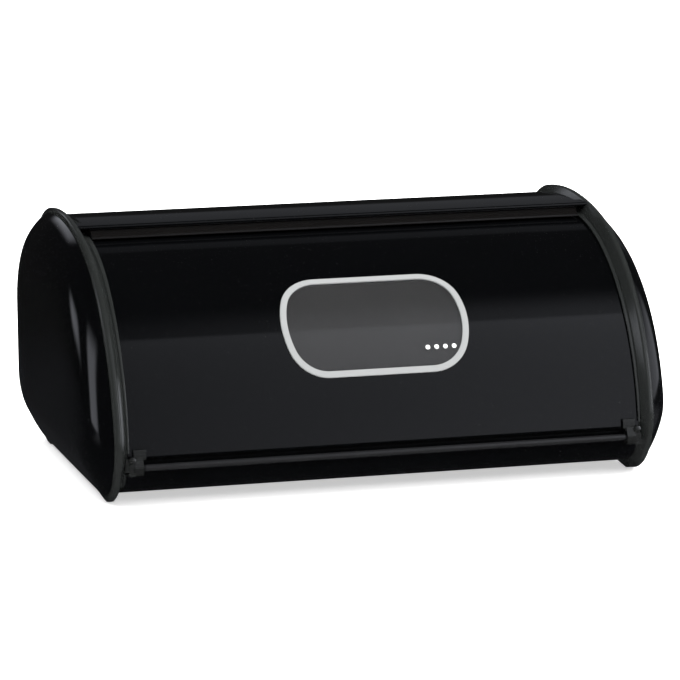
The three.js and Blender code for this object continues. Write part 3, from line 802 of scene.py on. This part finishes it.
def clip():
    """Right-hand clip: tab on the door's face, hook that swells round the rod, and the wing over the lip."""
    (r0, r1), (upper, lower) = TAB_R, TAB_DEG
    tab = arc(0, AXIS_Z, r1, lower, upper, 0.5) + arc(0, AXIS_Z, r0, upper, lower, 0.5)
    wing = arc_bar(*WING_X, *WING_R, *reversed(WING_DEG))
    boss = lathe([(2.4, 0), (2.4, 1.9), (2.2, 2.3), (1.7, 2.55), (0.02, 2.6)], 28)
    return merged(prism(HOOK, *HOOK_X), prism(rounded(tab, 0.25, 2), *TAB_X), wing,
                  placed(boss, radial(BOSS_X, BOSS_DEG, WING_R[0])))


for side, part in (("left", flipped(clip())), ("right", clip())):
    node = f"{side}_front_clip"
    piece = store(f"{side}_rod_clip", part, clip_plastic, "door", [node], 35)
    soften(piece, 0.0004, 40).harden_normals = True

# ------------------------------------------------------------------ small CAD pieces kept as they are

KEPT = {"rear_shoe": (plastic, 0.0003), "clip_screw": (steel, 0.00015), "shoe_rivet": (steel, 0.00015)}
for name, node in frame["nodes"].items():
    for kind, (finish, width) in KEPT.items():
        if name.endswith(kind):
            node.data.materials.clear()
            node.data.materials.append(finish)
            soften(node, width, 35)

# ------------------------------------------------------------------ stage, in metres


def stage_plane(name, corners, mat):
    """A flat piece of the stage, which isn't part of the bin."""
    mesh = bpy.data.meshes.new(name)
    mesh.from_pydata(corners, [], [(0, 1, 2, 3)])
    mesh.materials.append(mat)
    plane = bpy.data.objects.new(name, mesh)
    bpy.context.scene.collection.objects.link(plane)
    return plane


floor_mat = bpy.data.materials.new("floor")
floor_mat.use_nodes = True
floor_shader = floor_mat.node_tree.nodes["Principled BSDF"]
floor_shader.inputs["Base Color"].default_value = (0.93, 0.93, 0.93, 1)
floor_shader.inputs["Roughness"].default_value = 0.9
floor_shader.inputs["Specular IOR Level"].default_value = 0.0
floor_shader.inputs["Emission Color"].default_value = (1, 1, 1, 1)
floor_shader.inputs["Emission Strength"].default_value = 0.55
floor = stage_plane("floor", [(-30, -30, 0), (30, -30, 0), (30, 30, 0), (-30, 30, 0)], floor_mat)
floor.visible_glossy = False


def product(tree, a, b):
    """Two values multiplied."""
    node = tree.nodes.new("ShaderNodeMath")
    node.operation = "MULTIPLY"
    tree.links.new(a, node.inputs[0])
    tree.links.new(b, node.inputs[1])
    return node.outputs[0]


def faded(tree, value, width):
    """Smooth rise over `width` from 0 and the same fall before 1."""
    steps = []
    for start, end in ((0.0, width), (1.0, 1.0 - width)):
        step = tree.nodes.new("ShaderNodeMapRange")
        step.interpolation_type = "SMOOTHSTEP"
        step.inputs["From Min"].default_value = start
        step.inputs["From Max"].default_value = end
        tree.links.new(value, step.inputs["Value"])
        steps.append(step.outputs["Result"])
    return product(tree, *steps)


def softbox(name, corners, strength, fade):
    """A panel that only glossy surfaces see; its strength goes from left to right and fades at the edges."""
    m = bpy.data.materials.new(name)
    m.use_nodes = True
    t = m.node_tree
    t.nodes.clear()
    across = t.nodes.new("ShaderNodeSeparateXYZ")
    t.links.new(t.nodes.new("ShaderNodeTexCoord").outputs["UV"], across.inputs[0])
    span = t.nodes.new("ShaderNodeMapRange")
    span.inputs["To Min"].default_value, span.inputs["To Max"].default_value = strength
    t.links.new(across.outputs[0], span.inputs["Value"])
    emission = t.nodes.new("ShaderNodeEmission")
    emission.inputs["Color"].default_value = (0.94, 0.97, 1.06, 1)
    t.links.new(span.outputs["Result"], emission.inputs["Strength"])
    mix = t.nodes.new("ShaderNodeMixShader")
    edges = product(t, faded(t, across.outputs[0], fade[0]), faded(t, across.outputs[1], fade[1]))
    t.links.new(edges, mix.inputs[0])
    t.links.new(t.nodes.new("ShaderNodeBsdfTransparent").outputs[0], mix.inputs[1])
    t.links.new(emission.outputs[0], mix.inputs[2])
    t.links.new(mix.outputs[0], t.nodes.new("ShaderNodeOutputMaterial").inputs[0])
    panel = stage_plane(name, corners, m)
    grid = panel.data.uv_layers.new(name="panel")
    for loop, uv in zip(grid.data, ((0, 0), (1, 0), (1, 1), (0, 1))):
        loop.uv = uv
    panel.visible_camera = False
    panel.visible_diffuse = False
    panel.visible_shadow = False
    panel.visible_transmission = False


def upright(name, a, b, z0, z1, strength, fade):
    """Softbox standing between two points of the floor plan."""
    softbox(name, [(*a, z0), (*b, z0), (*b, z1), (*a, z1)], strength, fade)


softbox("front_panel", [(-0.1, -2.07, -0.2), (2.0, -2.07, -0.2), (2.0, -1.15, 2.45), (-0.1, -1.15, 2.45)],
        (0.13, 1.15), (0.1, 0.055))
softbox("front_high", [(0.15, -1.95, 2.5), (1.5, -1.95, 2.5), (1.5, -0.35, 2.6), (0.15, -0.35, 2.6)],
        (0.0, 0.50), (0.1, 0.5))
upright("front_right", (1.85, -1.8), (2.35, -1.2), -0.4, 1.9, (12.0, 12.0), (0.35, 0.25))
upright("right_side", (2.5, -0.7), (2.15, 1.3), -1.0, 0.95, (0.55, 0.55), (0.2, 0.3))
upright("back_panel", (-0.6, 2.5), (2.9, 2.5), 1.15, 2.6, (0.022, 0.080), (0.12, 0.15))
upright("back_low", (-0.2, 3.0), (2.9, 3.0), 0.40, 1.50, (0.05, 0.09), (0.15, 0.12))
softbox("back_left", [(-0.35, 2.47, 0.42), (-1.2, 2.2, 1.15), (-1.2, 2.2, 1.75), (-0.35, 2.47, 0.9)],
        (0.9, 0.5), (0.25, 0.4))
upright("left_wide", (-2.5, -0.2), (-2.5, 0.85), -0.7, 1.7, (1.5, 1.3), (0.3, 0.3))
upright("left_thin", (-2.16, 1.28), (-1.74, 1.95), 0.1, 0.85, (0.9, 0.9), (0.35, 0.45))
softbox("floor_tone", [(-2.6, -0.3, 0.001), (2.6, -0.3, 0.001), (2.6, 0.62, 0.001), (-2.6, 0.62, 0.001)],
        (0.018, 0.018), (0.3, 0.35))

sun_data = bpy.data.lights.new("overhead", "SUN")
sun_data.energy = 9.0
sun_data.angle = math.radians(120)
sun = bpy.data.objects.new("overhead", sun_data)
sun.rotation_euler = (math.radians(6), math.radians(16), 0)
sun.visible_glossy = False
bpy.context.scene.collection.objects.link(sun)

# the world is white where the camera looks at it, and nearly dark as a light
world = bpy.data.worlds.new("studio")
bpy.context.scene.world = world
world.use_nodes = True
world_nodes = world.node_tree.nodes
background = world_nodes["Background"]
background.inputs["Color"].default_value = (1, 1, 1, 1)
dim = world_nodes.new("ShaderNodeMapRange")
dim.inputs["To Min"].default_value = 0.010
dim.inputs["To Max"].default_value = 1.0
light_path = world_nodes.new("ShaderNodeLightPath")
world.node_tree.links.new(light_path.outputs["Is Camera Ray"], dim.inputs["Value"])
world.node_tree.links.new(dim.outputs["Result"], background.inputs["Strength"])

# ------------------------------------------------------------------ camera

AZIMUTH, ELEVATION, ROLL = (math.radians(v) for v in (15.170, 10.378, 0.445))
CAMERA_AT = (-0.69785, -2.58925, 0.57321)
SENSOR = 36
LENS = 204.85

ahead = Vector((math.sin(AZIMUTH) * math.cos(ELEVATION), math.cos(AZIMUTH) * math.cos(ELEVATION),
                -math.sin(ELEVATION)))
level = Vector((math.cos(AZIMUTH), -math.sin(AZIMUTH), 0))
plumb = level.cross(ahead)
right = math.cos(ROLL) * level - math.sin(ROLL) * plumb
up = math.sin(ROLL) * level + math.cos(ROLL) * plumb
camera_data = bpy.data.cameras.new("camera")
camera_data.sensor_width = SENSOR
camera_data.lens = LENS
camera_data.clip_end = 60
camera = bpy.data.objects.new("camera", camera_data)
camera.matrix_world = Matrix.Translation(CAMERA_AT) @ Matrix((right, up, -ahead)).transposed().to_4x4()
bpy.context.scene.collection.objects.link(camera)
bpy.context.scene.camera = camera
bpy.context.scene.view_settings.view_transform = "Standard"
